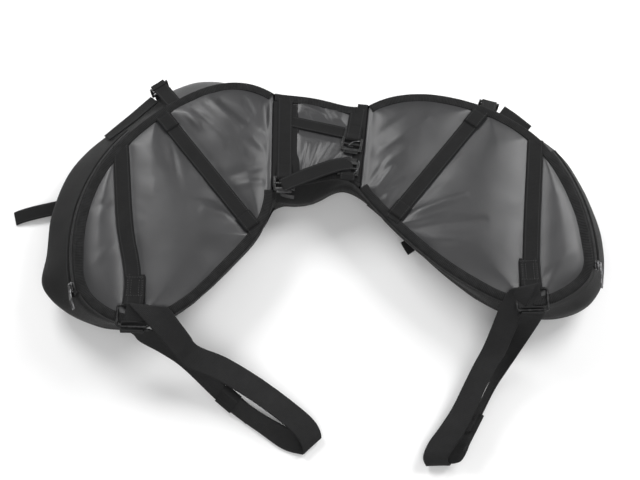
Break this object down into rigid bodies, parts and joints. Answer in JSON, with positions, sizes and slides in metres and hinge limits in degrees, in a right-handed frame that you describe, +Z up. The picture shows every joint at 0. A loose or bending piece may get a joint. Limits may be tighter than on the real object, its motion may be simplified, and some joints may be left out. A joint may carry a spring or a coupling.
{
  "type": "horseshoe motorcycle saddlebag",
  "caption": "Soft horseshoe-shaped saddlebag, two stuffed lobes on a narrow saddle, with sewn straps, ladder locks, rings and foot-peg loops, lying bike side up.",
  "frame": {"origin": "under the middle of the whole bag as it lies, on the surface it rests on", "axes": "+X from the left bag to the right bag, +Y from the open side of the horseshoe to its closed back, +Z up out of the bike-side face panels"},
  "size_m": [0.9807, 0.6605, 0.124],
  "materials": {
    "coated_fabric": "satin urethane-coated woven nylon",
    "wall_nylon": "black coated nylon, faint sheen",
    "foam_board": "dark padded lining",
    "binding_tape": "ribbed grosgrain tape",
    "strap_webbing": "ribbed nylon webbing",
    "loop_webbing": "heavy ribbed nylon webbing",
    "ring_wire": "black coated steel wire",
    "moulded_lock": "moulded black acetal, slight gloss",
    "zip_metal": "dark plated metal, worn bright on the edges",
    "zip_coil": "black nylon coil"
  },
  "bodies": {
    "centre": {"centre_outer_panel": "wall_nylon", "centre_face_panel": "coated_fabric", "centre_stiffener": "foam_board", "centre_back_wall": "wall_nylon", "centre_front_wall": "wall_nylon", "centre_back_binding": "binding_tape", "cross_strap": "strap_webbing", "front_anchor_strap": "strap_webbing", "left_anchor_strap": "strap_webbing", "right_anchor_strap": "strap_webbing", "tether_strap": "strap_webbing"},
    "left_lobe": {"left_gusset": "wall_nylon", "left_outer_panel": "wall_nylon", "left_face_panel": "coated_fabric", "left_stiffener": "foam_board", "left_edge_binding": "binding_tape", "left_long_strap": "strap_webbing", "left_diagonal_strap": "strap_webbing", "left_ring_keeper": "strap_webbing", "left_zip_tape": "binding_tape", "left_zip_coil": "zip_coil", "left_lock_anchor": "strap_webbing", "left_compression_strap": "strap_webbing"},
    "left_ring": {"left_ring": "ring_wire"},
    "left_loop": {"left_foot_loop": "loop_webbing", "left_loop_sleeve": "loop_webbing"},
    "left_slider": {"left_zip_slider": "zip_metal"},
    "left_pull": {"left_zip_pull": "zip_metal"},
    "left_back_lock": {"left_back_lock": "moulded_lock"},
    "left_tail": {"left_strap_tail": "strap_webbing"},
    "right_lobe": {"right_gusset": "wall_nylon", "right_outer_panel": "wall_nylon", "right_face_panel": "coated_fabric", "right_stiffener": "foam_board", "right_edge_binding": "binding_tape", "right_long_strap": "strap_webbing", "right_diagonal_strap": "strap_webbing", "right_ring_keeper": "strap_webbing", "right_zip_tape": "binding_tape", "right_zip_coil": "zip_coil", "right_lock_anchor": "strap_webbing", "right_compression_strap": "strap_webbing"},
    "right_ring": {"right_ring": "ring_wire"},
    "right_loop": {"right_foot_loop": "loop_webbing", "right_loop_sleeve": "loop_webbing"},
    "right_slider": {"right_zip_slider": "zip_metal"},
    "right_pull": {"right_zip_pull": "zip_metal"},
    "right_back_lock": {"right_back_lock": "moulded_lock"},
    "right_tail": {"right_strap_tail": "strap_webbing"},
    "tether_tail": {"left_tether_tail": "strap_webbing"},
    "left_lock": {"left_lock": "moulded_lock"},
    "upper_lock": {"upper_lock": "moulded_lock"},
    "lower_lock": {"lower_lock": "moulded_lock"}
  },
  "joints": [
    {"name": "left_fold", "type": "hinge", "parent": "centre", "child": "left_lobe", "pos_m": [-0.045, 0.19, 0.092], "axis": [0, 1, 0], "range_deg": [0, 75]},
    {"name": "right_fold", "type": "hinge", "parent": "centre", "child": "right_lobe", "pos_m": [0.104, 0.1855, 0.092], "axis": [-0.1097, -0.994, 0], "range_deg": [0, 75]},
    {"name": "left_ring_swing", "type": "hinge", "parent": "left_lobe", "child": "left_ring", "pos_m": [-0.25164, -0.092, 0.11378], "axis": [-0.9964, 0, 0.0847], "range_deg": [0, 45]},
    {"name": "left_loop_swing", "type": "hinge", "parent": "left_ring", "child": "left_loop", "pos_m": [-0.25164, -0.126, 0.11378], "axis": [-0.9964, 0, 0.0847], "range_deg": [0, 25]},
    {"name": "left_zip_run", "type": "hinge", "parent": "left_lobe", "child": "left_slider", "pos_m": [-0.076, 0.017, 0.09464], "axis": [-0.0847, 0, -0.9964], "range_deg": [0, 56]},
    {"name": "left_pull_swing", "type": "hinge", "parent": "left_slider", "child": "left_pull", "pos_m": [-0.35208, -0.06632, 0.1106], "axis": [-0.6877, -0.1794, -0.7035], "range_deg": [0, 100]},
    {"name": "left_back_lock_tilt", "type": "hinge", "parent": "left_lobe", "child": "left_back_lock", "pos_m": [-0.24168, 0.30197, 0.08493], "axis": [0.8088, 0.5881, 0], "range_deg": [0, 35]},
    {"name": "left_tail_swing", "type": "hinge", "parent": "left_lobe", "child": "left_tail", "pos_m": [-0.258, 0.287, 0.078], "axis": [0, 0, -1], "range_deg": [0, 12]},
    {"name": "right_ring_swing", "type": "hinge", "parent": "right_lobe", "child": "right_ring", "pos_m": [0.35464, -0.067, 0.11753], "axis": [-0.9964, 0, -0.0847], "range_deg": [0, 45]},
    {"name": "right_loop_swing", "type": "hinge", "parent": "right_ring", "child": "right_loop", "pos_m": [0.35464, -0.101, 0.11753], "axis": [-0.9964, 0, -0.0847], "range_deg": [0, 25]},
    {"name": "right_zip_run", "type": "hinge", "parent": "right_lobe", "child": "right_slider", "pos_m": [0.129, -0.005, 0.09413], "axis": [-0.0847, 0, 0.9964], "range_deg": [0, 35]},
    {"name": "right_pull_swing", "type": "hinge", "parent": "right_slider", "child": "right_pull", "pos_m": [0.46503, -0.03245, 0.11518], "axis": [-0.7112, 0.0454, 0.7015], "range_deg": [0, 100]},
    {"name": "right_back_lock_tilt", "type": "hinge", "parent": "right_lobe", "child": "right_back_lock", "pos_m": [0.31644, 0.26836, 0.08721], "axis": [0.9608, -0.2771, 0], "range_deg": [0, 35]},
    {"name": "right_tail_swing", "type": "hinge", "parent": "right_lobe", "child": "right_tail", "pos_m": [0.337, 0.264, 0.082], "axis": [0, 0, 1], "range_deg": [0, 12]},
    {"name": "tether_tail_swing", "type": "hinge", "parent": "left_lobe", "child": "tether_tail", "pos_m": [-0.386, 0.116, 0.012], "axis": [0, 0, 1], "range_deg": [0, 12]},
    {"name": "left_lock_tilt", "type": "hinge", "parent": "centre", "child": "left_lock", "pos_m": [-0.026, 0.128, 0.0962], "axis": [-1, 0, 0], "range_deg": [0, 35]},
    {"name": "upper_lock_tilt", "type": "hinge", "parent": "centre", "child": "upper_lock", "pos_m": [0.086, 0.197, 0.0962], "axis": [-0.9848, 0.1736, 0], "range_deg": [0, 35]},
    {"name": "lower_lock_tilt", "type": "hinge", "parent": "centre", "child": "lower_lock", "pos_m": [0.077, 0.133, 0.0962], "axis": [0.9945, -0.1045, 0], "range_deg": [0, 35]}
  ]
}
